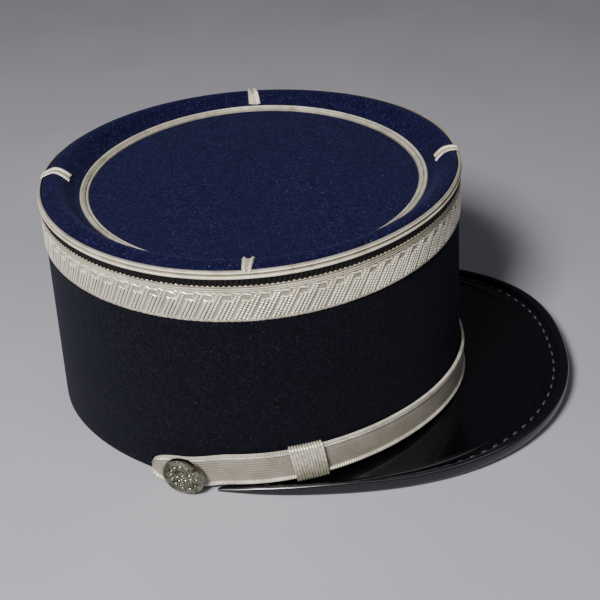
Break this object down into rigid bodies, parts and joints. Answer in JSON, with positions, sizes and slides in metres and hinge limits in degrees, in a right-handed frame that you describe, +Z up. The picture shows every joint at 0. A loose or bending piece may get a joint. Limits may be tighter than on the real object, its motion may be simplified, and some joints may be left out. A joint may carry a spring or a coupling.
{
  "type": "kepi cap",
  "caption": "Tall oval kepi cap with a rolled, recessed crown, silver braid and lace trim, a flat patent visor and a lace chin strap with sliders and buttons.",
  "frame": {"origin": "on the ground under the middle of the whole cap's box", "axes": "+Z up out of the crown, -Y towards the visor, +X towards the wearer's left"},
  "size_m": [0.1826, 0.2524, 0.1244],
  "materials": {
    "band_cloth": "very dark navy wool cloth with a short nap",
    "crown_cloth": "navy blue wool cloth with a short nap",
    "silver_braid": "silver soutache braid with two ridges",
    "silver_lace": "silver lace with raised diagonal bundles",
    "ribbed_black": "black ribbed grosgrain",
    "patent_leather": "glossy black patent leather with stitching",
    "strap_lace": "silver beige woven lace with bright edges",
    "silver_wire": "wound silvered wire",
    "button_metal": "pale silvered metal, lightly worn"
  },
  "bodies": {
    "root": {"band": "band_cloth", "crown": "crown_cloth", "edge_braid": "silver_braid", "ribbed_strip": "ribbed_black", "galon": "silver_lace", "ring_braid": "silver_braid", "rim_tab_front": "silver_braid", "rim_tab_left": "silver_braid", "rim_tab_back": "silver_braid", "rim_tab_right": "silver_braid", "visor": "patent_leather", "visor_binding": "patent_leather", "chin_strap": "strap_lace", "slider_left": "silver_wire", "slider_right": "silver_wire", "button_left": "button_metal", "button_right": "button_metal"}
  },
  "joints": []
}
